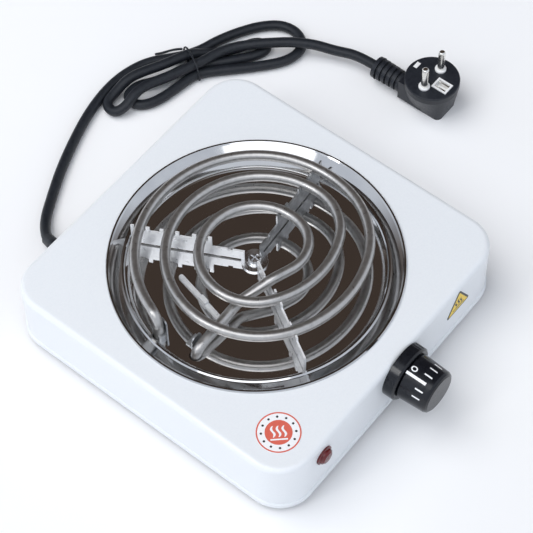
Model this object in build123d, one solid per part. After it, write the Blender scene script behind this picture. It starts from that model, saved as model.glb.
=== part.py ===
from build123d import *
import os
from math import cos, radians, sin, sqrt, tan

# Single-coil hot plate burner. Millimetres, +Z up, Z = 0 is the surface that it stands on.
# The origin is under the middle of the square body. -Y is the knob side, +Y the cord side.

# ---- body ------------------------------------------------------------------------------
SIDE = 222.0              # outside width of the square sheet-metal body
CORNER_R = 23.0           # plan radius of the body's corners
SHEET = 0.8               # body sheet thickness
HEM_Z = 5.5               # lower edge of the body
TOP_Z = 50.5              # flat top of the body
TOP_EDGE_R = 3.8          # rolled edge between top and walls
BEAD_OUT = 1.0            # hem band stands this proud of the walls
BEAD_H = 3.8              # height of the hem band
WALL = SIDE / 2           # distance of each outer wall from the centre
WALL_IN = WALL - SHEET    # and of its inner face
TOP_IN = TOP_Z - SHEET    # underside of the top

# ---- base and feet ---------------------------------------------------------------------
BASE_GAP = 0.3            # base plate to wall
BASE_Z0 = 6.5
BASE_Z1 = 7.3
POST_XY = 88.0            # corner posts, feet and their screws
POST_R = 4.8
POST_BORE_R = 2.0
POST_BORE_TOP = 24.0
SCREW_R = 1.95
FOOT_R = 9.6
FOOT_RECESS_R = 4.8
FOOT_RECESS_Z = 3.2
VENT_LEN = 26.0
VENT_W = 4.2
VENT_PITCH = 13.0
VENTS_PER_ROW = 5
VENT_ROW_X = 32.0

# ---- trim ring and drip bowl -------------------------------------------------------------
RING_R = 94.0             # outer edge of the chrome ring
HOLE_R = 91.8             # hole in the body's top
BOWL_SKIN = 0.7
BOWL_FLOOR = 40.9         # polished floor, top face
BOWL_UNDER = BOWL_FLOOR - BOWL_SKIN
BOWL_FLOOR_R = 79.9       # where the floor meets the wall
BOWL_WALL_R = 81.7        # inside of the wall under the flange
BOWL_RIM_Z = 46.6         # top face of the flange
BOWL_RIM_R = 84.3

# ---- heating coil ------------------------------------------------------------------------
COIL_R = 3.4              # radius of the sheathed tube
COIL_Z = 59.0             # centre height of the flat turns
TURN_1 = 75.0             # centreline radii of the outer, middle and inner turn
TURN_2 = 59.4
TURN_3 = 35.8
COIL_CX = 0.5
COIL_CY = 0.9
COIL_START = 158.0        # where the outer turn begins, degrees anticlockwise from +X
COIL_BENDS = [            # clockwise bends of the flat part: radius, degrees
    (TURN_1, 170.0),
    (TURN_2, 52.5),
    (TURN_1, 52.5),
    (TURN_2, 241.0),
    (TURN_3, 64.0),
    (TURN_2, 64.0),
    (TURN_3, 244.0),
    (23.5, 100.0),
]
LEG_Z = 26.0              # lower end of both cold ends
LEG_OUT_RUN = 12.5        # straight from the outer turn to its cold end
LEG_OUT_BEND = 8.0
LEG_IN_RUN = 13.0         # straight after the inner bend
LEG_IN_DIP = (-28.9, -10.0, 50.5)
LEG_IN = (-71.2, -9.6)
LEG_IN_TOP = 45.5
LEG_IN_BENDS = [13.0, 13.0, 7.5]
LEG_HOLE_R = 4.0
PIN_R = 1.6
PIN_Z = 15.0
INSULATOR_Z = 20.5
INSULATOR_R = 4.6

# ---- coil support --------------------------------------------------------------------------
HUB_X = 4.3
HUB_Y = 4.8
HUB_PLATE_R = 8.6
HUB_PLATE_T = 1.5
ARM_T = 1.2
ARM_Z0 = BOWL_FLOOR + HUB_PLATE_T
ARM_LOW = 51.0            # top of an arm between the hub and the inner turn
ARM_HIGH = 56.9           # and outside the inner turn
NOTCH_R = COIL_R + 0.35
NOTCH_Z = COIL_Z - COIL_R - 0.02 + NOTCH_R
TOOTH_TOP = 60.6
TOOTH_W = 2.5
ARM_START = 6.4           # inner end of each arm, from the hub's centre
ARM_TIP_LOW = 79.4        # end of an arm below the ring
ARM_TIP_HIGH = 81.6       # and above it
ARM_STEP_Z = 48.8
HUB_SCREW_R = 2.0
HUB_HEAD_Z = ARM_Z0 + 0.8

# ---- control -----------------------------------------------------------------------------
KNOB_X = 2.1
KNOB_Z = 34.0
BEZEL_R = 18.7
BEZEL_Y = -119.0          # front face of the fixed collar
KNOB_BACK = BEZEL_Y - 0.5
KNOB_END = -140.2
KNOB_R0 = 15.6
KNOB_R1 = 14.6
KNOB_FLUTES = 24
POINTER_TILT = 25.0       # the pointer at rest, to the left of straight up
FLUTE_R = 0.8
FLUTE_LEN = 10.0
SHAFT_R = 2.98
BUSH_BORE_R = 3.05
BUSH_R = 4.7
BUSH_HOLE_R = 4.9
BUSH_BACK = -95.5
PLUNGER_TRAVEL = 1.0
SHAFT_BACK = -100.5
PLUNGER_END = -93.0
STACK_X = KNOB_X - 17.5
STACK_R = 4.6
LEAF_W = 8.0
LEAF_T = 0.5

# ---- indicator ---------------------------------------------------------------------------
LAMP_X = -75.0
LAMP_Z = 36.5
LAMP_RIM_R = 6.6
LAMP_LENS_R = 5.6
LAMP_HOLE_R = 5.2
LAMP_BARREL_R = 5.1

# ---- cord --------------------------------------------------------------------------------
CORD_R = 3.6
CORD_LIE = CORD_R + 0.2   # height of a cord's centre on the surface
GLAND_X = -53.5
GLAND_Z = 15.0
GLAND_END = 117.0
GLAND_HOLE_R = 5.2
LEAD = [                  # from the gland to the hank
    (GLAND_X, GLAND_END, GLAND_Z),
    (GLAND_X, 125.0, GLAND_Z),
    (-49.5, 138.0, 8.6),
    (-38.0, 149.8, 4.3),
    (-21.4, 158.9, CORD_LIE),
    (0.0, 169.6, CORD_LIE),
    (24.6, 179.2, CORD_LIE),
    (49.2, 186.2, CORD_LIE),
    (64.2, 188.9, CORD_LIE),
]
PLUG_X = 201.8
PLUG_Y = 9.0
PLUG_FACE_Z = 26.5
PLUG_R = 19.0
PLUG_BASE_X = 21.0        # the plug's foot print on the surface
PLUG_BASE_Y = 29.0
PIN_PITCH = 19.0
EARTH_XY = (PLUG_X - 1.7, PLUG_Y - 9.4)
RELIEF_X = 196.5
RELIEF_Y0 = 28.2
RELIEF_Y1 = 51.5
RELIEF_Z = 11.5
PLUG_LEAD = [             # from the hank to the plug's strain relief
    (176.5, 112.0, 11.8),
    (185.0, 98.5, 11.4),
    (191.5, 84.0, 9.8),
    (RELIEF_X, 68.0, RELIEF_Z),
    (RELIEF_X, RELIEF_Y1, RELIEF_Z),
]
HANK_TOP = 14.6
HANK_OUTLINE = [          # plan outline of the tied hank, anticlockwise
    (60.0, 171.0),
    (73.0, 162.5),
    (91.0, 151.5),
    (120.0, 137.0),
    (144.5, 120.0),
    (171.0, 103.0),
    (190.5, 105.0),
    (197.0, 118.0),
    (193.5, 136.0),
    (176.5, 155.0),
    (144.5, 169.0),
    (126.5, 178.0),
    (107.0, 186.0),
    (88.0, 193.0),
    (64.0, 193.5),
    (57.0, 182.0),
]
TIE_X = 125.0
TIE_Y = 158.5
TIE_ANGLE = -27.0         # direction of the strands under the tie

# ---- labels ------------------------------------------------------------------------------
LABEL_T = 0.2
ROUND_LABEL_XY = -85.5
ROUND_LABEL_R = 13.7
TRI_X = 63.0
TRI_Z = 25.4
TRI_SIDE = 25.0

CORNERS = [(sx * POST_XY, sy * POST_XY) for sx in (-1, 1) for sy in (-1, 1)]
PARTS = {}


# ---- helpers -----------------------------------------------------------------------------
def rod_z(r, z0, z1, x=0.0, y=0.0):
    """Upright cylinder between two heights."""
    return Pos(x, y, (z0 + z1) / 2) * Cylinder(r, z1 - z0)


def rod_y(r, y0, y1, x, z):
    """Cylinder along Y."""
    return Pos(x, (y0 + y1) / 2, z) * Rot(90, 0, 0) * Cylinder(r, abs(y1 - y0))


def block(x0, x1, y0, y1, z0, z1):
    """Box between two corners."""
    return Pos((x0 + x1) / 2, (y0 + y1) / 2, (z0 + z1) / 2) * Box(x1 - x0, y1 - y0, z1 - z0)


def turned_z(points, x=0.0, y=0.0):
    """Profile of (radius, height) points turned about a vertical axis."""
    face = Plane.XZ * make_face(Polyline(*points, close=True))
    return Pos(x, y, 0) * revolve(face, Axis.Z)


def turned_y(points, x, z):
    """Profile of (radius, y) points turned about an axis along Y."""
    face = make_face(Polyline(*points, close=True))
    return Pos(x, 0, z) * revolve(face, Axis.Y)


def slab(side, radius, z0, z1):
    """Square plate with round corners."""
    return Pos(0, 0, z0) * extrude(RectangleRounded(side, side, radius), z1 - z0)


def edges_at(solid, z):
    """Edges that lie whole at one height."""
    boxes = [(e, e.bounding_box()) for e in solid.edges()]
    return [e for e, b in boxes if abs(b.min.Z - z) < 1e-3 and abs(b.max.Z - z) < 1e-3]


def pipe(points, radius, bends):
    """Round bar along straight runs joined by tangent arcs."""
    path = FilletPolyline(*points, radius=bends)
    return sweep(Plane(origin=path @ 0, z_dir=path % 0) * Circle(radius), path=path)


def easy_bends(points):
    """Bend radius that uses 0.45 of the shorter run at each corner of a route."""
    bends = []
    for a, b, c in zip(points, points[1:], points[2:]):
        run_in = Vector(*b) - Vector(*a)
        run_out = Vector(*c) - Vector(*b)
        turn = radians(run_in.get_angle(run_out))
        bends.append(0.45 * min(run_in.length, run_out.length) / tan(turn / 2))
    return bends


def keep(name, *solids):
    """Register one node, made of one or more separate solids."""
    PARTS[name] = solids[0] if len(solids) == 1 else Compound(children=[s.solid() for s in solids])


# ---- body and base -----------------------------------------------------------------------
def body_shell():
    outer = slab(SIDE, CORNER_R, HEM_Z, TOP_Z)
    outer = fillet(edges_at(outer, TOP_Z), TOP_EDGE_R)
    band = slab(SIDE + 2 * BEAD_OUT, CORNER_R + BEAD_OUT, HEM_Z, HEM_Z + BEAD_H)
    band = chamfer(edges_at(band, HEM_Z + BEAD_H), BEAD_OUT * 0.8)
    inner = slab(SIDE - 2 * SHEET, CORNER_R - SHEET, HEM_Z - 1, TOP_IN)
    inner = fillet(edges_at(inner, TOP_IN), TOP_EDGE_R - SHEET)
    shell = outer + band - inner
    shell -= rod_z(HOLE_R, TOP_IN - 1, TOP_Z + 1)
    shell -= rod_y(BUSH_HOLE_R, -WALL - 2, -WALL + 2, KNOB_X, KNOB_Z)
    shell -= rod_y(LAMP_HOLE_R, -WALL - 2, -WALL + 2, LAMP_X, LAMP_Z)
    shell -= rod_y(GLAND_HOLE_R, WALL - 2, WALL + 2, GLAND_X, GLAND_Z)
    return shell


def base_plate():
    gap = SHEET + BASE_GAP
    plate = slab(SIDE - 2 * gap, CORNER_R - gap, BASE_Z0, BASE_Z1)
    slot = extrude(SlotOverall(VENT_LEN, VENT_W), 3)
    for row in (-VENT_ROW_X, VENT_ROW_X):
        for k in range(VENTS_PER_ROW):
            plate -= Pos(row, (k - (VENTS_PER_ROW - 1) / 2) * VENT_PITCH, BASE_Z0 - 1) * slot
    for x, y in CORNERS:
        plate -= rod_z(POST_BORE_R + 0.2, BASE_Z0 - 1, BASE_Z1 + 1, x, y)
    return plate


def corner_post(x, y):
    return rod_z(POST_R, BASE_Z1, TOP_IN, x, y) - rod_z(POST_BORE_R, BASE_Z1 - 1, POST_BORE_TOP, x, y)


def rubber_foot(x, y):
    side = [(FOOT_R - 0.8, 0), (FOOT_R, 0.8), (FOOT_R - 0.6, BASE_Z0)]
    foot = turned_z([(0, 0)] + side + [(0, BASE_Z0)], x, y)
    foot -= rod_z(FOOT_RECESS_R, -1, FOOT_RECESS_Z, x, y)
    return foot - rod_z(POST_BORE_R + 0.2, 0, BASE_Z0 + 1, x, y)


def foot_screw(x, y):
    top = FOOT_RECESS_Z
    head = turned_z([(0, 0.9), (3.1, 0.9), (3.9, 1.6), (3.9, top), (0, top)], x, y)
    head -= block(x - 5, x + 5, y - 0.5, y + 0.5, 0, 1.7)
    return head + rod_z(SCREW_R, top, POST_BORE_TOP - 4, x, y)


def make_body():
    keep("body_shell", body_shell())
    keep("base_plate", base_plate())
    keep("corner_posts", *[corner_post(x, y) for x, y in CORNERS])
    keep("rubber_feet", *[rubber_foot(x, y) for x, y in CORNERS])
    keep("foot_screws", *[foot_screw(x, y) for x, y in CORNERS])


# ---- trim ring and drip bowl ---------------------------------------------------------------
def trim_ring():
    lip = [(RING_R, TOP_Z), (RING_R, 51.3), (93.5, 52.0), (92.4, 52.0), (91.5, 51.4)]
    bead = [(85.0, 47.6), (83.9, 48.1), (82.8, 47.9), (82.1, 47.2)]
    under = [(82.4, BOWL_RIM_Z), (84.6, BOWL_RIM_Z), (91.3, TOP_Z)]
    return turned_z(lip + bead + under)


def drip_bowl():
    top = [(0, BOWL_FLOOR), (BOWL_FLOOR_R, BOWL_FLOOR), (BOWL_WALL_R, BOWL_RIM_Z), (BOWL_RIM_R, BOWL_RIM_Z)]
    flange = BOWL_RIM_Z - BOWL_SKIN
    under = [(BOWL_RIM_R, flange), (BOWL_WALL_R + 0.7, flange), (BOWL_FLOOR_R + 0.7, BOWL_UNDER), (0, BOWL_UNDER)]
    bowl = turned_z(top + under)
    ends = ((BOWL_FLOOR_R, BOWL_FLOOR, 1.6), (BOWL_FLOOR_R + 0.7, BOWL_UNDER, 2.2))
    for radius, height, bend in ends:
        rims = [e for e in edges_at(bowl, height) if abs(e.radius - radius) < 0.01]
        bowl = fillet(rims, bend)
    bowl -= rod_z(HUB_SCREW_R + 0.1, BOWL_UNDER - 1, BOWL_FLOOR + 1, HUB_X, HUB_Y)
    for x, y in (outer_leg(), LEG_IN):
        bowl -= rod_z(LEG_HOLE_R, BOWL_UNDER - 1, BOWL_FLOOR + 1, x, y)
    return bowl


def bowl_clip(angle):
    """Folded clip between the underside of the body's top and the bowl's flange."""
    flange = BOWL_RIM_Z - BOWL_SKIN
    foot = block(83.2, 95.6, -5, 5, flange - 0.8, flange)
    leg = block(94.8, 95.6, -5, 5, flange - 0.8, TOP_IN)
    tab = block(94.8, 101.0, -5, 5, TOP_IN - 0.8, TOP_IN)
    return Rot(0, 0, angle) * (foot + leg + tab)


# ---- heating coil ----------------------------------------------------------------------------
def coil_bend_centres():
    """Centre of every clockwise bend of the flat part, in order."""
    angle = radians(COIL_START)
    point = Vector(COIL_CX + TURN_1 * cos(angle), COIL_CY + TURN_1 * sin(angle))
    centres = []
    for radius, turn in COIL_BENDS:
        centre = point - Vector(cos(angle), sin(angle)) * radius
        centres.append((centre.X, centre.Y))
        angle -= radians(turn)
        point = centre + Vector(cos(angle), sin(angle)) * radius
    return centres


def outer_leg():
    """Where the outer turn's cold end goes down."""
    angle = radians(COIL_START)
    x = COIL_CX + TURN_1 * cos(angle) - LEG_OUT_RUN * sin(angle)
    y = COIL_CY + TURN_1 * sin(angle) + LEG_OUT_RUN * cos(angle)
    return x, y


def heating_coil():
    angle = radians(COIL_START)
    leg = outer_leg()
    point = Vector(COIL_CX + TURN_1 * cos(angle), COIL_CY + TURN_1 * sin(angle), COIL_Z)
    heading = Vector(sin(angle), -cos(angle), 0)
    down = FilletPolyline((*leg, LEG_Z), (*leg, COIL_Z), tuple(point), radius=LEG_OUT_BEND)
    edges = list(down.edges())
    for radius, turn in COIL_BENDS:
        arc = JernArc(start=point, tangent=heading, radius=radius, arc_size=-turn)
        edges.append(arc.edge())
        point = arc @ 1
        heading = arc % 1
    after = point + heading * LEG_IN_RUN
    tail = [tuple(point), tuple(after), LEG_IN_DIP, (*LEG_IN, LEG_IN_TOP), (*LEG_IN, LEG_Z)]
    edges += FilletPolyline(*tail, radius=LEG_IN_BENDS).edges()
    start = Plane(origin=(*leg, LEG_Z), z_dir=(0, 0, 1))
    return sweep(start * Circle(COIL_R), path=Wire(edges))


def terminal_pin(x, y):
    return rod_z(PIN_R, PIN_Z, LEG_Z, x, y)


def insulator(x, y):
    low = [(0, INSULATOR_Z), (INSULATOR_R - 0.8, INSULATOR_Z), (INSULATOR_R, INSULATOR_Z + 0.8)]
    high = [(INSULATOR_R, LEG_Z - 0.6), (INSULATOR_R - 0.6, LEG_Z), (0, LEG_Z)]
    return turned_z(low + high, x, y) - rod_z(PIN_R, INSULATOR_Z - 1, LEG_Z + 1, x, y)


def hook_clip(x, y, toward):
    """Open collar on the bowl's floor round the outer cold end, with a tall bent ear."""
    floor = BOWL_FLOOR
    bore = rod_z(COIL_R + 0.1, floor - 1, floor + 6, x, y)
    collar = rod_z(COIL_R + 1.2, floor, floor + 4.2, x, y) & rod_z(BOWL_FLOOR_R - 1.5, floor, floor + 4.2)
    ear = block(COIL_R + 0.2, COIL_R + 1.2, -3.2, 3.2, 0, 14.0)
    ear = fillet(ear.edges().filter_by(Axis.X).group_by(Axis.Z)[-1], 2.4)
    return (collar + Pos(x, y, floor) * Rot(0, 0, toward) * ear - bore).solids()[0]


def ear_clip(x, y, toward):
    """Round-topped plate beside the inner cold end, on a foot riveted to the bowl's floor."""
    plate = block(COIL_R + 1.2, COIL_R + 2.2, -4.5, 4.5, 0, 9.0)
    plate = fillet(plate.edges().filter_by(Axis.X).group_by(Axis.Z)[-1], 4.0)
    foot = block(COIL_R + 1.2, COIL_R + 6.5, -4.5, 4.5, 0, 1.0)
    return Pos(x, y, BOWL_FLOOR) * Rot(0, 0, toward) * (plate + foot)


def floor_bar():
    """Thin raised bar riveted across the bowl's floor in front of the cold ends."""
    bar = block(-1.6, 1.6, -24.5, 24.5, 0, 1.4)
    bar = fillet(bar.edges().filter_by(Axis.Z), 1.4)
    tabs = block(-1.6, 1.6, -3.0, 3.0, 1.2, 3.6)
    return Pos(-38.5, 11.0, BOWL_FLOOR) * Rot(0, 0, -13) * (bar + tabs)


def make_coil_group():
    legs = (outer_leg(), LEG_IN)
    keep("trim_ring", trim_ring())
    keep("drip_bowl", drip_bowl())
    keep("bowl_clips", *[bowl_clip(angle) for angle in (90, 210, 330)])
    keep("heating_coil", heating_coil())
    keep("terminal_pins", *[terminal_pin(x, y) for x, y in legs])
    keep("terminal_insulators", *[insulator(x, y) for x, y in legs])
    keep("leg_clips", hook_clip(*outer_leg(), -20), ear_clip(LEG_IN[0] + 7, LEG_IN[1], 90))
    keep("bowl_floor_bar", floor_bar())


# ---- coil support ----------------------------------------------------------------------------
def along_arm(angle, radius, cx, cy):
    """Distance from the hub to a circle, along one direction."""
    dx = HUB_X - cx
    dy = HUB_Y - cy
    along = dx * cos(radians(angle)) + dy * sin(radians(angle))
    return -along + sqrt(along ** 2 - dx ** 2 - dy ** 2 + radius ** 2)


def turn_crossings(angle):
    """Distances from the hub at which an arm meets the outer, middle and inner turn."""
    centres = coil_bend_centres()
    return [along_arm(angle, COIL_BENDS[k][0], *centres[k]) for k in (0, 3, 6)]


def support_arm(angle, turns, low_until):
    """Upright notched strip from the hub to the bowl's wall."""
    half = ARM_T / 2
    tip_low = along_arm(angle, ARM_TIP_LOW, 0, 0)
    tip_high = along_arm(angle, ARM_TIP_HIGH, 0, 0) if turns == 3 else tip_low
    arm = block(ARM_START, tip_low, -half, half, ARM_Z0, ARM_LOW)
    arm += block(low_until, tip_low, -half, half, ARM_LOW - 1, ARM_HIGH)
    if turns == 3:
        arm += block(tip_low - 4, tip_high, -half, half, ARM_STEP_Z, ARM_HIGH)
    for at in turn_crossings(angle)[3 - turns:]:
        for x0 in (at - NOTCH_R - TOOTH_W, at + NOTCH_R):
            arm += block(x0, min(x0 + TOOTH_W, tip_high), -half, half, ARM_HIGH - 6, TOOTH_TOP)
        arm -= Pos(at, 0, NOTCH_Z) * Rot(90, 0, 0) * Cylinder(NOTCH_R, 10)
        arm -= block(at - NOTCH_R, at + NOTCH_R, -5, 5, NOTCH_Z, TOOTH_TOP + 1)
    middle = ARM_START + 0.45 * (low_until - ARM_START)
    arm -= block(middle - 1.6, middle + 1.6, -5, 5, ARM_LOW - 1.6, ARM_LOW + 1)
    return Pos(HUB_X, HUB_Y, 0) * Rot(0, 0, angle) * arm


def hub_plate():
    plate = rod_z(HUB_PLATE_R, BOWL_FLOOR, ARM_Z0, HUB_X, HUB_Y)
    return plate - rod_z(HUB_SCREW_R + 0.1, BOWL_FLOOR - 1, ARM_Z0 + 1, HUB_X, HUB_Y)


def hub_screw():
    z = HUB_HEAD_Z
    head = turned_z([(0, z), (4.2, z), (4.2, z + 1.2), (3.4, z + 2.4), (0, z + 3.0)], HUB_X, HUB_Y)
    head -= block(HUB_X - 3, HUB_X + 3, HUB_Y - 0.45, HUB_Y + 0.45, z + 1.7, z + 4)
    head -= block(HUB_X - 0.45, HUB_X + 0.45, HUB_Y - 3, HUB_Y + 3, z + 1.7, z + 4)
    return head + rod_z(HUB_SCREW_R, BOWL_UNDER - 6, z, HUB_X, HUB_Y)


def hub_nut():
    nut = Pos(HUB_X, HUB_Y, BOWL_UNDER - 3.2) * extrude(RegularPolygon(4.0, 6), 3.2)
    return nut - rod_z(HUB_SCREW_R, BOWL_UNDER - 4, BOWL_UNDER + 1, HUB_X, HUB_Y)


def make_support():
    names = ("coil_arm_left", "coil_arm_back", "coil_arm_front")
    for name, angle, turns in zip(names, (117.3, 4.9, 239.6), (3, 3, 2)):
        inner = turn_crossings(angle)[2] - NOTCH_R - TOOTH_W
        keep(name, support_arm(angle, turns, inner))
    keep("hub_plate", hub_plate())
    washer = rod_z(4.9, ARM_Z0, HUB_HEAD_Z, HUB_X, HUB_Y)
    keep("hub_washer", washer - rod_z(HUB_SCREW_R + 0.1, ARM_Z0 - 1, HUB_HEAD_Z + 1, HUB_X, HUB_Y))
    keep("hub_screw", hub_screw(), hub_nut())


# ---- control ---------------------------------------------------------------------------------
def knob():
    edge = [(KNOB_R0 - 0.5, KNOB_BACK), (KNOB_R0, KNOB_BACK - 0.5), (KNOB_R1, KNOB_END + 2.4)]
    end = [(KNOB_R1 - 0.8, KNOB_END + 0.8), (KNOB_R1 - 2.2, KNOB_END), (0, KNOB_END)]
    grip = turned_y([(0, KNOB_BACK)] + edge + end, KNOB_X, KNOB_Z)
    for k in range(KNOB_FLUTES):
        angle = radians(k * 360 / KNOB_FLUTES + 7.5)
        x = KNOB_X + (KNOB_R0 + 0.25) * cos(angle)
        z = KNOB_Z + (KNOB_R0 + 0.25) * sin(angle)
        grip -= rod_y(FLUTE_R, KNOB_END - 1, KNOB_END + FLUTE_LEN, x, z)
    pointer = block(-0.9, 0.9, KNOB_END + 6, KNOB_BACK - 1, KNOB_R1 - 1.0, KNOB_R0 + 0.5)
    grip += Pos(KNOB_X, 0, KNOB_Z) * Rot(0, -POINTER_TILT, 0) * pointer
    return grip - rod_y(SHAFT_R + 0.02, KNOB_END + 6, KNOB_BACK + 1, KNOB_X, KNOB_Z)


def knob_bezel():
    edge = [(BEZEL_R, -WALL), (BEZEL_R, BEZEL_Y + 1.2), (BEZEL_R - 1.2, BEZEL_Y)]
    collar = turned_y([(0, -WALL)] + edge + [(0, BEZEL_Y)], KNOB_X, KNOB_Z)
    collar -= rod_y(8.2, -WALL - 4, -WALL + 1, KNOB_X, KNOB_Z)
    for k in range(9):
        angle = 90 + (k - 4) * 12
        rib = block(BEZEL_R - 0.3, BEZEL_R + 0.3, BEZEL_Y + 1.4, -WALL - 0.8, -0.35, 0.35)
        collar += Pos(KNOB_X, 0, KNOB_Z) * Rot(0, -angle, 0) * rib
    return collar - rod_y(SHAFT_R + 0.32, BEZEL_Y - 1, -WALL, KNOB_X, KNOB_Z)


def adjuster_shaft():
    return rod_y(SHAFT_R, KNOB_END + 6.2, SHAFT_BACK, KNOB_X, KNOB_Z)


def thermostat_bush():
    """Threaded bush through the front wall; the shaft turns in it."""
    bush = rod_y(BUSH_R, -WALL - 3.6, BUSH_BACK, KNOB_X, KNOB_Z)
    bush += block(STACK_X - 7, KNOB_X + 9, -WALL_IN, -WALL_IN + 1.6, KNOB_Z - 7, KNOB_Z + 7)
    return bush - rod_y(BUSH_BORE_R, -WALL - 5, BUSH_BACK + 1, KNOB_X, KNOB_Z)


def bush_nut():
    nut = Pos(KNOB_X, -WALL, KNOB_Z) * Rot(90, 0, 0) * extrude(RegularPolygon(7.6, 6), 3.0)
    return nut - rod_y(BUSH_R, -WALL - 4, -WALL + 1, KNOB_X, KNOB_Z)


def leaf(y, right, left=None):
    """One spring blade of the switch, clamped in the insulator stack."""
    x0 = STACK_X - 6 if left is None else left
    blade = block(x0, right, y, y + LEAF_T, KNOB_Z - LEAF_W / 2, KNOB_Z + LEAF_W / 2)
    return blade - rod_y(1.9, y - 1, y + 2, STACK_X, KNOB_Z)


def spacer(y0, y1):
    """Ceramic washer of the switch stack."""
    return rod_y(STACK_R, y0, y1, STACK_X, KNOB_Z) - rod_y(1.9, y0 - 1, y1 + 1, STACK_X, KNOB_Z)


def make_control():
    face = -WALL_IN + 1.6
    y_near = PLUNGER_END + PLUNGER_TRAVEL + 0.4
    y_mid = y_near + 4.4
    y_far = y_mid + 4.4
    keep("knob", knob())
    keep("knob_bezel", knob_bezel())
    keep("adjuster_shaft", adjuster_shaft())
    keep("thermostat_bush", thermostat_bush())
    keep("bush_nut", bush_nut())
    keep("push_pin", rod_y(SHAFT_R, SHAFT_BACK + 0.4, PLUNGER_END, KNOB_X, KNOB_Z))
    gaps = ((face, y_near), (y_near + LEAF_T, y_mid), (y_mid + LEAF_T, y_far))
    keep("stack_insulators", *[spacer(y0, y1) for y0, y1 in gaps])
    keep("pressure_leaf", leaf(y_near, KNOB_X + 5))
    keep("moving_leaf", leaf(y_mid, KNOB_X + 13, STACK_X - 12))
    keep("fixed_leaf", leaf(y_far, KNOB_X + 13, STACK_X - 16))
    tip = KNOB_X + 10
    contacts = [rod_y(2.0, y_mid + LEAF_T, y_mid + LEAF_T + 1.2, tip, KNOB_Z)]
    contacts.append(rod_y(2.0, y_far - 1.2, y_far, tip, KNOB_Z))
    keep("contact_rivets", *contacts)
    link = block(KNOB_X + 1, KNOB_X + 4, y_near + LEAF_T, y_mid, KNOB_Z - 1.5, KNOB_Z + 1.5)
    keep("bimetal_link", link)
    bolt = rod_y(1.8, -WALL_IN + 1.6, y_far + LEAF_T, STACK_X, KNOB_Z)
    keep("stack_screw", bolt + rod_y(3.6, y_far + LEAF_T, y_far + LEAF_T + 2.2, STACK_X, KNOB_Z))


# ---- indicator -------------------------------------------------------------------------------
def indicator_lens():
    front = [(0, -WALL - 4.0), (LAMP_LENS_R - 1.8, -WALL - 3.7), (LAMP_LENS_R - 0.4, -WALL - 2.6)]
    back = [(LAMP_LENS_R, -WALL - 1.4), (LAMP_RIM_R, -WALL - 1.0), (LAMP_RIM_R, -WALL)]
    stem = [(LAMP_BARREL_R, -WALL), (LAMP_BARREL_R, -WALL + 9), (0, -WALL + 9)]
    lens = turned_y(front + back + stem, LAMP_X, LAMP_Z)
    return lens - rod_y(3.6, -WALL - 1, -WALL + 10, LAMP_X, LAMP_Z)


def make_indicator():
    y = -WALL + 9
    nut = rod_y(8.4, -WALL_IN, -WALL_IN + 1.0, LAMP_X, LAMP_Z)
    keep("indicator_clip", nut - rod_y(LAMP_BARREL_R, -WALL_IN - 1, -WALL_IN + 2, LAMP_X, LAMP_Z))
    keep("indicator_lens", indicator_lens())
    socket = rod_y(LAMP_BARREL_R, y, y + 6, LAMP_X, LAMP_Z)
    for side in (-2.2, 2.2):
        socket -= rod_y(0.9, y + 3, y + 7, LAMP_X + side, LAMP_Z)
    keep("indicator_socket", socket)
    bulb = rod_y(2.6, y - 8.4, y, LAMP_X, LAMP_Z)
    keep("neon_bulb", fillet(bulb.edges().sort_by(Axis.Y)[0], 1.8))


# ---- wiring ----------------------------------------------------------------------------------
def cord_gland():
    front = [(0, WALL_IN - 3), (7.6, WALL_IN - 3), (7.6, WALL_IN), (GLAND_HOLE_R - 0.1, WALL_IN)]
    neck = [(GLAND_HOLE_R - 0.1, WALL), (5.6, WALL), (5.6, WALL + 2.2), (4.8, GLAND_END), (0, GLAND_END)]
    return turned_y(front + neck, GLAND_X, GLAND_Z)


def cord_clamp():
    """Saddle on the base plate that grips the cord's tail inside."""
    x = GLAND_X
    y = 98.0
    z = GLAND_Z
    saddle = block(x - 12, x + 12, y - 4, y + 4, BASE_Z1, z + CORD_R + 1.6)
    saddle -= block(x - 14, x - CORD_R - 2, y - 5, y + 5, BASE_Z1 + 1.6, 40)
    saddle -= block(x + CORD_R + 2, x + 14, y - 5, y + 5, BASE_Z1 + 1.6, 40)
    for side in (-9, 9):
        saddle -= rod_z(1.6, 0, 20, x + side, y)
    return saddle - rod_y(CORD_R, y - 5, y + 5, x, z)


def pan_screw(x, y, z):
    """Short screw into the base plate, its head resting at one height."""
    return rod_z(3.0, z, z + 1.8, x, y) + rod_z(1.5, BASE_Z1, z, x, y)


def terminal_block():
    body = block(-62, -38, 62, 74, BASE_Z1, BASE_Z1 + 12)
    body = fillet(body.edges().group_by(Axis.Z)[-1], 1.0)
    for x in (-57, -50, -43):
        body -= rod_y(1.9, 61, 75, x, BASE_Z1 + 5)
        for y in (65, 71):
            body -= rod_z(1.7, BASE_Z1 + 5, BASE_Z1 + 14, x, y)
    return body


def terminal_screws():
    places = [(x, y) for x in (-57, -50, -43) for y in (65, 71)]
    return [rod_z(1.65, BASE_Z1 + 7.2, BASE_Z1 + 11.4, x, y) for x, y in places]


def inner_wire(points, radius=1.1, bend=2.4):
    return pipe(points, radius, bend)


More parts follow.
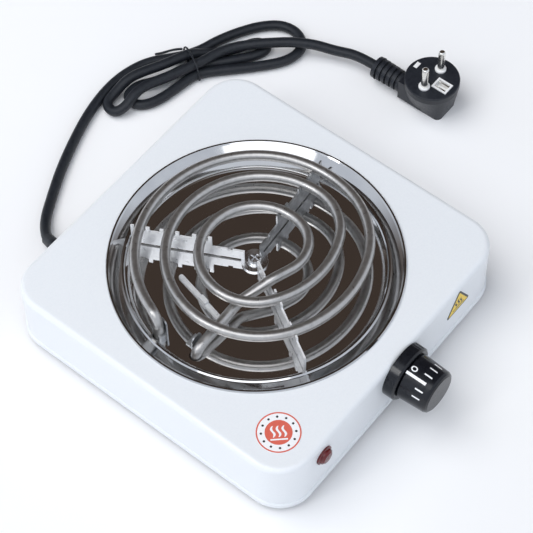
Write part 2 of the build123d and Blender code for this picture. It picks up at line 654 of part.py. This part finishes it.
def make_wiring():
    keep("cord_gland", cord_gland())
    keep("cord_clamp", cord_clamp())
    tail = rod_y(CORD_R, 84.0, WALL_IN - 3, GLAND_X, GLAND_Z)
    keep("cord_tail", tail)
    keep("terminal_block", terminal_block())
    keep("terminal_screws", *terminal_screws())
    z = BASE_Z1 + 5
    starts = ((-57, -55.0), (-50, -53.5), (-43, -52.0))
    cores = [pipe([(x0, 74, z), (x0, 79, z), (x1, 80, 15), (x1, 84, 15)], 0.7, 1.2) for x0, x1 in starts]
    keep("cord_cores", *cores)
    (ax, ay), (bx, by) = outer_leg(), LEG_IN
    live = [(-50, 62, z), (-50, 46, 9.6), (ax, 32, 9.6), (ax, ay, 9.6), (ax, ay, PIN_Z)]
    keep("coil_wire_a", inner_wire(live))
    back = [(bx, by, PIN_Z), (bx, by, 9.6), (-56, -40, 9.6), (STACK_X - 10, -78.8, 20), (STACK_X - 10, -78.8, 30)]
    keep("coil_wire_b", inner_wire(back))
    feed = [(-43, 62, z), (-43, 40, 11), (-8, -30, 11), (STACK_X - 14, -68, 20), (STACK_X - 14, -76.2, 28)]
    keep("switch_wire", inner_wire(feed))
    earth = [(-57, 62, z), (-57, 55, 10), (-70, 66, 10), (-90, 68, 9.4)]
    keep("earth_wire", inner_wire(earth))
    tag = block(-96, -90, 64, 76, BASE_Z1, BASE_Z1 + 1.0)
    keep("earth_tag", tag - rod_z(1.6, 0, 12, -93, 73))
    clamp_z = BASE_Z1 + 1.6
    places = [(GLAND_X - 9, 98, clamp_z), (GLAND_X + 9, 98, clamp_z), (-93, 73, BASE_Z1 + 1)]
    keep("base_screws", *[pan_screw(x, y, z) for x, y, z in places])


# ---- cord and plug -----------------------------------------------------------------------------
def hank():
    """Outer shape of the tied bundle, in one piece."""
    outline = make_face(Polyline(*HANK_OUTLINE, close=True))
    outline = fillet(outline.vertices(), 3.0)
    body = extrude(outline, HANK_TOP - 0.2)
    body = chamfer(body.faces().sort_by(Axis.Z)[-1].edges(), 2.4)
    return Pos(0, 0, 0.2) * body


def wire_tie():
    """Thin band pulled round the middle of the hank, with its twisted tail."""
    half = 13.2
    band = block(-1.3, 1.3, -half, half, HANK_TOP, HANK_TOP + 0.8)
    tail = Pos(0, 0, 0) * block(-0.7, 0.7, half - 1, half + 7.5, HANK_TOP, HANK_TOP + 1.4)
    return Pos(TIE_X, TIE_Y, 0) * Rot(0, 0, TIE_ANGLE) * (band + tail)


def plug_body():
    """Moulded earthed plug lying on its back, its pins pointing up."""
    rim = rod_z(PLUG_R, PLUG_FACE_Z - 5, PLUG_FACE_Z, PLUG_X, PLUG_Y)
    rim = fillet(edges_at(rim, PLUG_FACE_Z), 1.0)
    base = RectangleRounded(PLUG_BASE_X, PLUG_BASE_Y, 4.0)
    flank = loft([Pos(PLUG_X, PLUG_Y, 0) * base, Pos(PLUG_X, PLUG_Y, PLUG_FACE_Z - 5) * Circle(PLUG_R)])
    neck = block(RELIEF_X - 7, RELIEF_X + 7, PLUG_Y, RELIEF_Y0, 3.0, 20.0)
    body = rim + flank + neck
    body -= rod_z(2.25, PLUG_FACE_Z - 8, PLUG_FACE_Z + 1, PLUG_X - PIN_PITCH / 2, PLUG_Y)
    body -= rod_z(2.25, PLUG_FACE_Z - 8, PLUG_FACE_Z + 1, PLUG_X + PIN_PITCH / 2, PLUG_Y)
    body -= earth_pocket(0.0, PLUG_FACE_Z - 4, PLUG_FACE_Z + 1)
    return body


def earth_pocket(inset, z0, z1):
    """Rectangular space of the earth contact, shrunk by an inset."""
    x, y = EARTH_XY
    return block(x - 4.6 + inset, x + 4.6 - inset, y - 5.8 + inset, y + 5.8 - inset, z0, z1)


def earth_frame():
    """White surround of the earth contact."""
    return earth_pocket(0.0, PLUG_FACE_Z - 4, PLUG_FACE_Z + 0.8) - earth_pocket(1.3, PLUG_FACE_Z - 3, PLUG_FACE_Z + 2)


def earth_spring():
    """Two metal lips inside the surround."""
    x, y = EARTH_XY
    z0 = PLUG_FACE_Z - 3
    return [block(x + a, x + a + 1.2, y - 4.4, y + 4.4, z0, PLUG_FACE_Z) for a in (-3.0, 1.8)]


def plug_mark():
    """Small inlay on the far side of the face."""
    return block(PLUG_X, PLUG_X + 5.2, PLUG_Y + 13.4, PLUG_Y + 16.2, PLUG_FACE_Z, PLUG_FACE_Z + 0.3)


def plug_relief():
    """Ribbed sleeve between the cord and the plug."""
    profile = [(0, RELIEF_Y0)]
    pitch = (RELIEF_Y1 - 3 - RELIEF_Y0) / 5
    for k in range(5):
        y = RELIEF_Y0 + k * pitch
        r = 7.4 + 0.12 * k
        profile += [(r, y), (r, y + pitch * 0.62), (r - 1.4, y + pitch * 0.68), (r - 1.4, y + pitch)]
    profile += [(8.2, RELIEF_Y1 - 3), (7.8, RELIEF_Y1), (0, RELIEF_Y1)]
    return turned_y(profile, RELIEF_X, RELIEF_Z)


def plug_pin(side):
    x = PLUG_X + side * PIN_PITCH / 2
    pin = rod_z(2.4, PLUG_FACE_Z + 1.2, PLUG_FACE_Z + 19, x, PLUG_Y)
    pin = fillet(pin.edges().sort_by(Axis.Z)[-1], 1.6)
    return pin + rod_z(2.2, PLUG_FACE_Z - 8, PLUG_FACE_Z + 1.2, x, PLUG_Y)


def pin_collar(side):
    x = PLUG_X + side * PIN_PITCH / 2
    return rod_z(3.9, PLUG_FACE_Z, PLUG_FACE_Z + 1.2, x, PLUG_Y) - rod_z(2.2, 20, 40, x, PLUG_Y)


def make_cord():
    keep("cord_lead", pipe(LEAD, CORD_R, easy_bends(LEAD)))
    keep("cord_hank", hank())
    keep("cord_plug_lead", pipe(PLUG_LEAD, CORD_R, easy_bends(PLUG_LEAD)))
    keep("wire_tie", wire_tie())
    keep("plug_body", plug_body())
    keep("plug_relief", plug_relief())
    keep("plug_pins", plug_pin(-1), plug_pin(1))
    keep("pin_collars", pin_collar(-1), pin_collar(1))
    keep("plug_earth_frame", earth_frame(), plug_mark())
    keep("plug_earth_spring", *earth_spring())
    print("cord radius", CORD_R)
    print("lead bends", [round(r, 1) for r in easy_bends(LEAD)])
    print("plug lead bends", [round(r, 1) for r in easy_bends(PLUG_LEAD)])


# ---- labels ----------------------------------------------------------------------------------
def make_labels():
    at = ROUND_LABEL_XY
    disc = Pos(at, at, TOP_Z) * extrude(Circle(ROUND_LABEL_R), LABEL_T)
    keep("heat_label", disc)
    height = TRI_SIDE * sqrt(3) / 2
    corners = [(TRI_X - TRI_SIDE / 2, TRI_Z), (TRI_X + TRI_SIDE / 2, TRI_Z), (TRI_X, TRI_Z + height)]
    face = fillet(make_face(Polyline(*corners, close=True)).vertices(), 1.6)
    keep("hazard_label", Pos(0, -WALL, 0) * Rot(90, 0, 0) * extrude(face, LABEL_T))


def main():
    make_body()
    make_coil_group()
    make_support()
    make_control()
    make_indicator()
    make_wiring()
    make_cord()
    make_labels()
    os.makedirs("parts", exist_ok=True)
    for name, shape in PARTS.items():
        export_step(shape, f"parts/{name}.step")
    print(len(PARTS), "nodes")


main()
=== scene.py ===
from math import cos, pi, radians, sin, sqrt

import bpy
from mathutils import Matrix, Vector


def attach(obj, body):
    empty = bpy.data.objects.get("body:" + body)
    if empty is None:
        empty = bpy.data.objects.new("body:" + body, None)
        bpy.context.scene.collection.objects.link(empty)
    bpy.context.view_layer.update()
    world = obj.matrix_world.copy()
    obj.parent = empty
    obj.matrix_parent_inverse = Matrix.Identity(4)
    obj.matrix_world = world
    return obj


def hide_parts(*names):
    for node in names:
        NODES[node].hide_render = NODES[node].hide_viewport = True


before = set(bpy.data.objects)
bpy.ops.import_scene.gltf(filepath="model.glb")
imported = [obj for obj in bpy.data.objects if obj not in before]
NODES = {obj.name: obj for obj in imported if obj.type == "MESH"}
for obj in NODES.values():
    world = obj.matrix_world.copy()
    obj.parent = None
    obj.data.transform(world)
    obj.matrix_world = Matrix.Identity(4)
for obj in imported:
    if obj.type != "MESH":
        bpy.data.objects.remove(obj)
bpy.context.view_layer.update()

MM = 0.001
WALL_Y = -111.0              # outer face of the front wall, all sizes in millimetres
TOP_LABEL_AT = (-85.5, -85.5, 50.72)
TOP_LABEL_TURN = radians(-47)
PRINT_GAP = 0.01             # each printed layer stands this far above the last
TRIANGLE_SIDE = 25.0
TRIANGLE_X, TRIANGLE_Z = 63.0, 25.4
KNOB_X, KNOB_Z = 2.1, 34.0   # the knob's axis, along Y
KNOB_Y0, KNOB_R0 = -120.0, 15.6
KNOB_Y1, KNOB_R1 = -137.8, 14.6
RIDGE_R = 16.16              # just over the pointer's ridge
POINTER_ANGLE = 115.0        # angles round the knob run from +X towards +Z
TICK_PITCH = 21.5


# ---- small helpers ---------------------------------------------------------------------------
def mm(points):
    return [Vector(p) * MM for p in points]


def new_material(name, color, metallic=0.0, roughness=0.4, **sockets):
    """A node material with its fixed values on the shader's own sockets."""
    mat = bpy.data.materials.new(name)
    mat.use_nodes = True
    tree = mat.node_tree
    shader = tree.nodes["Principled BSDF"]
    shader.inputs["Base Color"].default_value = (*color, 1)
    shader.inputs["Metallic"].default_value = metallic
    shader.inputs["Roughness"].default_value = roughness
    for key, value in sockets.items():
        shader.inputs[key.replace("_", " ")].default_value = value
    return mat


def object_coords(tree):
    coords = tree.nodes.new("ShaderNodeTexCoord")
    mapping = tree.nodes.new("ShaderNodeMapping")
    tree.links.new(coords.outputs["Object"], mapping.inputs["Vector"])
    return mapping.outputs["Vector"]


def noise(tree, vector, scale, detail=3.0):
    node = tree.nodes.new("ShaderNodeTexNoise")
    node.inputs["Scale"].default_value = scale
    node.inputs["Detail"].default_value = detail
    tree.links.new(vector, node.inputs["Vector"])
    return node.outputs["Fac"]


def ramp(tree, fac, stops):
    node = tree.nodes.new("ShaderNodeValToRGB")
    points = node.color_ramp.elements
    for place, value in stops[2:]:
        points.new(place)
    for point, (place, value) in zip(points, stops):
        point.position = place
        point.color = (*value, 1) if isinstance(value, tuple) else (value, value, value, 1)
    tree.links.new(fac, node.inputs["Fac"])
    return node.outputs["Color"]


def vary(mat, vector, scale, colors=None, rough=None, bump=None, detail=3.0):
    """Noise that drives colour, roughness and fine relief of a material."""
    tree = mat.node_tree
    shader = tree.nodes["Principled BSDF"]
    fac = noise(tree, vector, scale, detail)
    if colors:
        tree.links.new(ramp(tree, fac, [(0.3, colors[0]), (0.7, colors[1])]), shader.inputs["Base Color"])
    if rough:
        tree.links.new(ramp(tree, fac, [(0.3, rough[0]), (0.7, rough[1])]), shader.inputs["Roughness"])
    if bump:
        node = tree.nodes.new("ShaderNodeBump")
        node.inputs["Strength"].default_value = bump[0]
        node.inputs["Distance"].default_value = bump[1]
        tree.links.new(fac, node.inputs["Height"])
        tree.links.new(node.outputs["Normal"], shader.inputs["Normal"])
    return mat


def dress(name, mat):
    """Gives a CAD node one material."""
    slots = NODES[name].data.materials
    slots.clear()
    slots.append(mat)


# ---- materials -------------------------------------------------------------------------------
def enamel():
    mat = new_material("enamel_white", (0.80, 0.825, 0.85), roughness=0.3, Coat_Weight=0.2,
                       Coat_Roughness=0.15)
    return vary(mat, object_coords(mat.node_tree), 900.0, ((0.785, 0.81, 0.838), (0.81, 0.833, 0.857)),
                (0.28, 0.36), (0.03, 0.00004))


def chrome():
    mat = new_material("chrome_ring", (0.62, 0.62, 0.63), 1.0, 0.06)
    return vary(mat, object_coords(mat.node_tree), 60.0,
                ((0.58, 0.58, 0.59), (0.66, 0.66, 0.66)), (0.03, 0.1))


def bowl_polish():
    mat = new_material("bowl_polish", (0.82, 0.82, 0.82), 1.0, 0.05)
    return vary(mat, object_coords(mat.node_tree), 26.0,
                ((0.8, 0.795, 0.79), (0.86, 0.855, 0.85)), (0.02, 0.06),
                (0.02, 0.0004))


def coil_steel():
    mat = new_material("coil_sheath", (0.5, 0.485, 0.47), 0.9, 0.31)
    return vary(mat, object_coords(mat.node_tree), 320.0,
                ((0.46, 0.45, 0.435), (0.57, 0.555, 0.54)), (0.27, 0.35),
                (0.02, 0.00003), 5.0)


def zinc():
    mat = new_material("zinc_plate", (0.78, 0.79, 0.8), 1.0, 0.25)
    return vary(mat, object_coords(mat.node_tree), 160.0,
                ((0.7, 0.71, 0.73), (0.88, 0.88, 0.88)), (0.16, 0.34),
                (0.12, 0.0003), 4.0)


def knob_black():
    mat = new_material("knob_black", (0.008, 0.009, 0.012), roughness=0.14, Specular_IOR_Level=0.36)
    return vary(mat, object_coords(mat.node_tree), 300.0, ((0.007, 0.008, 0.011), (0.012, 0.013, 0.017)),
                (0.11, 0.2), (0.03, 0.0001))


def cord_rubber():
    mat = new_material("cord_jacket", (0.013, 0.015, 0.02), roughness=0.42, Specular_IOR_Level=0.4)
    return vary(mat, object_coords(mat.node_tree), 500.0, ((0.010, 0.012, 0.016), (0.018, 0.021, 0.027)),
                (0.38, 0.55), (0.12, 0.0002))


def plug_black():
    mat = new_material("plug_black", (0.016, 0.018, 0.024), roughness=0.38, Specular_IOR_Level=0.4)
    return vary(mat, object_coords(mat.node_tree), 600.0, ((0.012, 0.014, 0.019), (0.021, 0.024, 0.031)),
                (0.34, 0.5), (0.1, 0.0002))


def plain(name, low, high, rough=(0.35, 0.5), metallic=0.0, scale=250.0):
    mat = new_material(name, low, metallic, rough[0])
    return vary(mat, object_coords(mat.node_tree), scale, (low, high), rough, (0.05, 0.0002))


# Painted light: a brighter, less metallic copy of the zinc plate, so the left and front arms and the floor
# bar look lit.
def zinc_arm_painted_light():
    mat = new_material("zinc_arm_painted_light", (0.9, 0.91, 0.92), 0.35, 0.34)
    return vary(mat, object_coords(mat.node_tree), 240.0,
                ((0.84, 0.85, 0.87), (0.95, 0.955, 0.96)), (0.26, 0.42),
                (0.1, 0.0002), 4.0)


# Painted shade: a darker copy of the arm zinc, so the back arm and the leg clips look shaded.
def painted_shade_zinc():
    mat = new_material("zinc_arm_painted_shade", (0.4, 0.41, 0.42), 0.8, 0.35)
    return vary(mat, object_coords(mat.node_tree), 240.0,
                ((0.3, 0.31, 0.32), (0.5, 0.51, 0.52)), (0.28, 0.42),
                (0.1, 0.0002), 4.0)


MATS = {
    "arm": zinc_arm_painted_light(),
    "arm_painted_shade": painted_shade_zinc(),
    "enamel": enamel(),
    "chrome": chrome(),
    "bowl": bowl_polish(),
    "coil": coil_steel(),
    "zinc": zinc(),
    "knob": knob_black(),
    "cord": cord_rubber(),
    "plug": plug_black(),
    "pin": plain("pin_nickel", (0.78, 0.76, 0.72), (0.88, 0.87, 0.84), (0.14, 0.26), 1.0),
    "ceramic": plain("ceramic_cream", (0.72, 0.69, 0.62), (0.8, 0.78, 0.72)),
    "lens": plain("lens_red", (0.09, 0.006, 0.008), (0.14, 0.01, 0.012), (0.1, 0.18)),
    "neon": plain("neon_glow", (0.7, 0.5, 0.4), (0.8, 0.6, 0.5)),
    "brass": plain("brass_blade", (0.72, 0.55, 0.27), (0.82, 0.66, 0.36), (0.25, 0.4), 1.0),
    "wire": plain("wire_sleeve", (0.62, 0.58, 0.5), (0.7, 0.67, 0.6)),
    "collar": plain("collar_white", (0.82, 0.82, 0.82), (0.88, 0.88, 0.88)),
}
BY_MATERIAL = {
    "enamel": ["body_shell"],
    "chrome": ["trim_ring"],
    "bowl": ["drip_bowl"],
    "coil": ["heating_coil"],
    # painted light: the left and front arms and the floor bar get the brighter copy of the zinc
    "arm": ["coil_arm_left", "coil_arm_front", "bowl_floor_bar"],
    # painted shade: the back arm and the leg clips get the darker copy of the arm zinc
    "arm_painted_shade": ["coil_arm_back", "leg_clips"],
    "zinc": [
        "base_plate", "corner_posts", "foot_screws", "bowl_clips", "hub_plate", "hub_washer",
        "hub_screw", "bush_nut", "adjuster_shaft", "thermostat_bush", "push_pin", "stack_screw",
        "indicator_clip", "cord_clamp", "base_screws", "earth_tag", "wire_tie", "terminal_pins",
    ],
    "knob": ["knob", "knob_bezel"],
    "cord": ["rubber_feet", "cord_gland", "cord_tail", "cord_lead", "cord_hank", "cord_plug_lead"],
    "plug": ["plug_body", "plug_relief"],
    "pin": ["plug_pins", "plug_earth_spring"],
    "ceramic": ["terminal_insulators", "stack_insulators", "bimetal_link"],
    "lens": ["indicator_lens"],
    "neon": ["neon_bulb"],
    "brass": ["pressure_leaf", "moving_leaf", "fixed_leaf", "contact_rivets", "terminal_screws"],
    "wire": ["cord_cores", "coil_wire_a", "coil_wire_b", "switch_wire", "earth_wire"],
    "collar": ["indicator_socket", "terminal_block", "pin_collars", "plug_earth_frame"],
}
for key, names in BY_MATERIAL.items():
    for name in names:
        dress(name, MATS[key])


# ---- printed marks and labels --------------------------------------------------------------------
def flat_mesh(name, faces, place, mat, on):
    """Printed shape: polygons given in the plane of the surface, laid on it by place(u, v)."""
    mesh = bpy.data.meshes.new(name)
    points, polygons = [], []
    for outline in faces:
        polygons.append(list(range(len(points), len(points) + len(outline))))
        points += [Vector(place(u, v)) * MM for u, v in outline]
    mesh.from_pydata(points, [], polygons)
    mesh.materials.append(mat)
    piece = bpy.data.objects.new(name, mesh)
    bpy.context.collection.objects.link(piece)
    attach(piece, on)
    return piece


def disc(r, u=0.0, v=0.0, steps=48):
    return [(u + r * cos(2 * pi * k / steps), v + r * sin(2 * pi * k / steps)) for k in range(steps)]


def band(r0, r1, steps=60):
    """Ring of quads between two radii."""
    quads = []
    for k in range(steps):
        a, b = 2 * pi * k / steps, 2 * pi * (k + 1) / steps
        quads.append([(r0 * cos(a), r0 * sin(a)), (r1 * cos(a), r1 * sin(a)), (r1 * cos(b), r1 * sin(b)),
                      (r0 * cos(b), r0 * sin(b))])
    return quads


def bar(half, low, high):
    """Outline of a straight stroke, centred on the vertical axis."""
    return [(-half, low), (half, low), (half, high), (-half, high)]


def heat_wave(u, v, height, width, sway, steps=10):
    """One rising wavy stroke as a strip of quads."""
    sides = []
    for k in range(steps + 1):
        t = k / steps
        middle = u + sway * sin(2 * pi * t)
        half = width / 2 * (1.0 - 0.55 * abs(2 * t - 1) ** 3)
        sides.append(((middle - half, v + height * t), (middle + half, v + height * t)))
    return [[a[0], a[1], b[1], b[0]] for a, b in zip(sides, sides[1:])]


def print_mat(name, color):
    high = tuple(min(1.0, c * 1.06 + 0.004) for c in color)
    return plain(name, color, high, (0.35, 0.45), 0.0, 800.0)


RED = print_mat("print_red", (0.66, 0.13, 0.09))
WHITE = print_mat("print_white", (0.86, 0.86, 0.87))
BLACK = print_mat("print_black", (0.012, 0.012, 0.013))
YELLOW = print_mat("print_yellow", (0.86, 0.60, 0.05))


def round_label():
    """Heat notice on the top face, all of it without words."""
    def place(lift):
        x, y, z = TOP_LABEL_AT
        c, s = cos(TOP_LABEL_TURN), sin(TOP_LABEL_TURN)
        return lambda u, v: (x + u * c - v * s, y + u * s + v * c, z + lift)

    dress("heat_label", WHITE)
    flat_mesh("heat_label_rim", band(12.7, 13.6), place(PRINT_GAP), RED, "burner")
    flat_mesh("heat_label_centre", [disc(8.3)], place(PRINT_GAP), RED, "burner")
    waves = [q for u in (-3.4, 0.0, 3.4) for q in heat_wave(u, -3.2, 7.6, 1.5, 0.9)]
    flat_mesh("heat_label_waves", waves, place(2 * PRINT_GAP), WHITE, "burner")
    flat_mesh("heat_label_base", [bar(5.2, -5.2, -4.2)], place(2 * PRINT_GAP), WHITE, "burner")
    turns = [radians(a) for a in range(0, 360, 30)]
    dots = [disc(0.75, 10.5 * cos(a), 10.5 * sin(a), 16) for a in turns]
    flat_mesh("heat_label_dots", dots, place(0.012), BLACK, "burner")


def triangle_label():
    """Yellow heat triangle on the front wall, base down."""
    def triangle(inset):
        half = TRIANGLE_SIDE / 2 - inset * sqrt(3)
        return [(-half, inset), (half, inset), (0.0, inset + half * sqrt(3))]

    def place(lift):
        return lambda u, v: (TRIANGLE_X + u, WALL_Y - 0.22 - lift, TRIANGLE_Z + v)

    dress("hazard_label", BLACK)
    flat_mesh("hazard_field", [triangle(1.3)], place(PRINT_GAP), YELLOW, "burner")
    waves = [q for u in (-2.6, 0.0, 2.6) for q in heat_wave(u, 5.2, 7.6 - abs(u) * 0.6, 1.5, 0.8)]
    flat_mesh("hazard_waves", waves, place(2 * PRINT_GAP), BLACK, "burner")
    flat_mesh("hazard_base", [bar(5.8, 3.2, 4.3)], place(2 * PRINT_GAP), BLACK, "burner")


def round_knob(angle, y, r):
    turn = radians(angle)
    return (KNOB_X + r * cos(turn), y, KNOB_Z + r * sin(turn))


def on_skin(angle, y):
    """Point just off the tapered grip."""
    along = (y - KNOB_Y0) / (KNOB_Y1 - KNOB_Y0)
    return round_knob(angle, y, KNOB_R0 + (KNOB_R1 - KNOB_R0) * along + 0.03)


def on_ridge(angle, y):
    return round_knob(angle, y, RIDGE_R)


def strip(a0, a1, y0, y1, steps=1):
    """Quads filling a patch of knob skin between two angles and two places along it."""
    quads = []
    for k in range(steps):
        b0 = a0 + (a1 - a0) * k / steps
        b1 = a0 + (a1 - a0) * (k + 1) / steps
        quads.append([(b0, y0), (b1, y0), (b1, y1), (b0, y1)])
    return quads


def oval_band(angle, y, inner, outer, steps=20):
    """Ring of quads between two ovals, each given by its half width in degrees and half length."""
    quads = []
    for k in range(steps):
        a, b = 2 * pi * k / steps, 2 * pi * (k + 1) / steps
        corners = ((inner, a), (outer, a), (outer, b), (inner, b))
        quads.append([(angle + half[0] * cos(t), y - half[1] * sin(t)) for half, t in corners])
    return quads


def knob_marks():
    """White pointer, dial ticks and a plain zero printed round the knob."""
    pointer = strip(POINTER_ANGLE - 3.3, POINTER_ANGLE + 3.3, -119.6, -134.1)
    flat_mesh("knob_pointer_mark", pointer, on_ridge, WHITE, "knob")
    ticks = []
    angles = [157.0, 136.0] + [95.0 - TICK_PITCH * k for k in range(12)]
    for angle in angles:
        ticks += strip(angle - 1.9, angle + 1.9, -129.3, -134.8, steps=2)
    flat_mesh("knob_ticks", ticks, on_skin, WHITE, "knob")
    zero = oval_band(99.5, -122.6, (4.0, 1.3), (6.6, 2.2))
    flat_mesh("knob_zero", zero, on_skin, WHITE, "knob")


round_label()
triangle_label()
knob_marks()


# ---- cord --------------------------------------------------------------------------------------
CORD_D = 7.2 * MM
LEAD = [
    (-53.5, 117.0, 15.0), (-53.5, 125.0, 15.0), (-49.5, 138.0, 8.6), (-38.0, 149.8, 4.3),
    (-21.4, 158.9, 3.8), (0.0, 169.6, 3.8), (24.6, 179.2, 3.8), (46.0, 186.0, 3.8),
    (64.7, 189.4, 3.8), (82.0, 190.0, 3.8), (98.8, 186.4, 3.8), (110.0, 180.5, 3.8),
    (119.0, 172.5, 3.8),
]
OUTER_LOOP = [
    (128.5, 165.5, 3.8), (138.5, 160.5, 3.8), (150.0, 157.5, 3.8), (165.0, 151.0, 3.8),
    (180.5, 141.5, 3.8), (191.0, 129.5, 3.8), (191.5, 115.0, 3.8), (182.0, 105.0, 3.8),
    (167.0, 107.0, 3.8), (152.0, 119.0, 3.8), (138.5, 131.8, 3.8), (127.0, 143.0, 3.8),
]
LOOP_A = [
    (118.0, 150.3, 3.8), (104.0, 152.3, 3.8), (90.0, 154.6, 3.8), (79.5, 158.0, 3.8),
    (72.0, 165.0, 3.8), (74.0, 175.5, 3.8), (85.5, 175.8, 3.8), (96.0, 168.0, 3.8),
    (107.0, 162.8, 3.8), (117.0, 160.0, 3.8),
]
INNER_FOLD = [
    (126.5, 153.5, 3.8), (136.0, 144.5, 3.8), (146.0, 136.0, 3.8), (156.5, 127.8, 3.8),
    (168.0, 124.0, 3.8), (169.0, 133.5, 3.8), (158.0, 140.0, 3.8), (145.0, 148.2, 3.8),
    (135.5, 156.0, 5.4),
]
LOOP_B = [
    (127.0, 161.2, 10.2), (118.0, 165.0, 10.8), (106.0, 169.8, 11.0), (94.0, 176.0, 11.4),
    (83.0, 181.0, 10.4), (71.5, 182.4, 6.3), (60.0, 182.4, 4.0), (57.5, 172.0, 4.2),
    (65.5, 167.6, 7.6), (76.0, 168.2, 11.8), (86.0, 166.4, 11.6), (97.0, 161.8, 11.0),
    (108.0, 157.2, 10.6), (118.0, 153.6, 10.4),
]
PLUG_LEAD = [
    (127.0, 149.8, 10.4), (137.0, 147.0, 10.8), (148.0, 141.5, 11.0), (158.0, 132.5, 11.8),
    (168.0, 121.5, 12.2), (177.0, 111.0, 12.2), (185.5, 97.5, 11.6), (191.5, 83.0, 9.4),
    (196.5, 68.0, 11.5), (196.5, 52.5, 11.5),
]


SLEEVE = [
    (-53.5, 113.0, 15.0), (-53.5, 117.0, 15.0), (-53.5, 125.0, 15.0), (-51.5, 131.5, 11.8),
    (-50.3, 135.4, 9.9),
]
TAIL = [
    (128.6, 170.4, 6.4), (127.0, 173.4, 5.6), (123.5, 178.0, 3.8), (119.4, 182.0, 1.8),
    (116.5, 185.6, 0.9),
]


def nurbs(name, points, radius, mat, tapers=None, cyclic=False):
    """Round bar along one smooth curve."""
    data = bpy.data.curves.new(name, "CURVE")
    data.dimensions = "3D"
    data.bevel_depth = radius
    data.bevel_resolution = 5
    data.use_fill_caps = True
    spline = data.splines.new("NURBS")
    spline.points.add(len(points) - 1)
    for k, (point, place) in enumerate(zip(spline.points, mm(points))):
        point.co = (*place, 1)
        point.radius = tapers[k] if tapers else 1.0
    spline.use_cyclic_u = cyclic
    spline.order_u = 3
    spline.use_endpoint_u = not cyclic
    spline.resolution_u = 10
    data.materials.append(mat)
    piece = bpy.data.objects.new(name, data)
    bpy.context.collection.objects.link(piece)
    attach(piece, "burner")
    return piece


def make_cord():
    """The whole lead as one curve, its sleeve at the gland, and the wire round the hank."""
    route = LEAD + OUTER_LOOP + LOOP_A + INNER_FOLD + LOOP_B + PLUG_LEAD
    cord = nurbs("mains_cord", route, CORD_D / 2, MATS["cord"])
    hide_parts("cord_lead", "cord_hank", "cord_plug_lead")
    sleeve = nurbs("exit_sleeve", SLEEVE, 5.2 * MM, MATS["cord"], (1.05, 1.02, 0.92, 0.84, 0.8))
    tie = nurbs("tie_wire", tie_loop(), 0.7 * MM, MATS["cord"], cyclic=True)
    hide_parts("wire_tie")
    tail = nurbs("tie_tail", TAIL, 0.8 * MM, MATS["cord"], (1.0, 1.15, 0.95, 1.15, 0.9))


def tie_loop():
    """The wire's loop round all the strands, square to the hank."""
    across = Vector((0.454, 0.891, 0))
    middle = Vector((123.2, 157.5, 0))
    ring = [(-13.2, 0.9), (-14.4, 4.5), (-11.6, 11.0), (-7.0, 14.9), (0.0, 15.4), (6.5, 14.9), (11.6, 11.0),
            (14.2, 4.5), (13.0, 0.9), (0.0, 0.7)]
    return [tuple(middle + across * n + Vector((0, 0, z))) for n, z in ring]


make_cord()


# ---- stage -----------------------------------------------------------------------------------
CAM_AZ, CAM_EL, CAM_ROLL = radians(-50.395), radians(57.144), radians(-1.235)
CAM_AT = (-0.5032, -0.4246, 1.0642)


def make_camera():
    """Camera above the front left corner, looking down at the burner."""
    z = Vector((sin(CAM_AZ) * cos(CAM_EL), -cos(CAM_AZ) * cos(CAM_EL), sin(CAM_EL)))
    x = Vector((0, 0, 1)).cross(z).normalized()
    y = z.cross(x)
    right = x * cos(CAM_ROLL) + y * sin(CAM_ROLL)
    up = y * cos(CAM_ROLL) - x * sin(CAM_ROLL)
    data = bpy.data.cameras.new("camera")
    data.sensor_width = 36
    data.lens = 130.95
    camera = bpy.data.objects.new("camera", data)
    camera.matrix_world = Matrix.Translation(CAM_AT) @ Matrix((right, up, z)).transposed().to_4x4()
    bpy.context.collection.objects.link(camera)
    bpy.context.scene.camera = camera


def make_floor():
    """White paper far larger than the view."""
    mesh = bpy.data.meshes.new("floor")
    size = 6.0
    corners = [(-size, -size, 0), (size, -size, 0), (size, size, 0), (-size, size, 0)]
    mesh.from_pydata(corners, [], [(0, 1, 2, 3)])
    floor = bpy.data.objects.new("floor", mesh)
    paper = plain("floor_white", (0.92, 0.92, 0.93), (0.94, 0.94, 0.94), (0.7, 0.8), scale=3.0)
    floor.data.materials.append(paper)
    bpy.context.collection.objects.link(floor)


def area_light(name, at, size, power, glossy=True):
    """Soft box aimed at the origin; with glossy off, polished metal doesn't mirror it."""
    data = bpy.data.lights.new(name, "AREA")
    data.shape = "RECTANGLE"
    data.size, data.size_y = size
    data.energy = power
    lamp = bpy.data.objects.new(name, data)
    lamp.location = at
    lamp.rotation_euler = (-Vector(at)).to_track_quat("-Z", "Y").to_euler()
    lamp.visible_glossy = glossy
    bpy.context.collection.objects.link(lamp)


DARK_SKY = (0.60, 0.50, 0.62)     # direction of the dark side


def make_world():
    """Pale studio with one dark side, which the polished bowl mirrors."""
    world = bpy.data.worlds.new("studio")
    bpy.context.scene.world = world
    world.use_nodes = True
    tree = world.node_tree
    back = tree.nodes["Background"]
    coords = tree.nodes.new("ShaderNodeTexCoord")
    facing = tree.nodes.new("ShaderNodeVectorMath")
    facing.operation = "DOT_PRODUCT"
    facing.inputs[1].default_value = DARK_SKY
    tree.links.new(coords.outputs["Generated"], facing.inputs[0])
    sky = ramp(tree, facing.outputs["Value"], [(0.52, (0.84, 0.9, 1.0)), (0.70, (0.2, 0.18, 0.17)),
                                               (0.82, (0.06, 0.044, 0.036))])
    tree.links.new(sky, back.inputs["Color"])
    back.inputs["Strength"].default_value = 0.86


make_camera()
make_floor()
make_world()
area_light("key", (-0.35, 1.0, 2.25), (1.8, 1.8), 28, glossy=False)
area_light("fill", (-1.0, -0.4, 2.2), (1.5, 1.5), 9)
area_light("gleam", (-1.6, 0.6, 1.7), (0.4, 0.8), 6)

scene = bpy.context.scene
scene.view_settings.view_transform = "Standard"
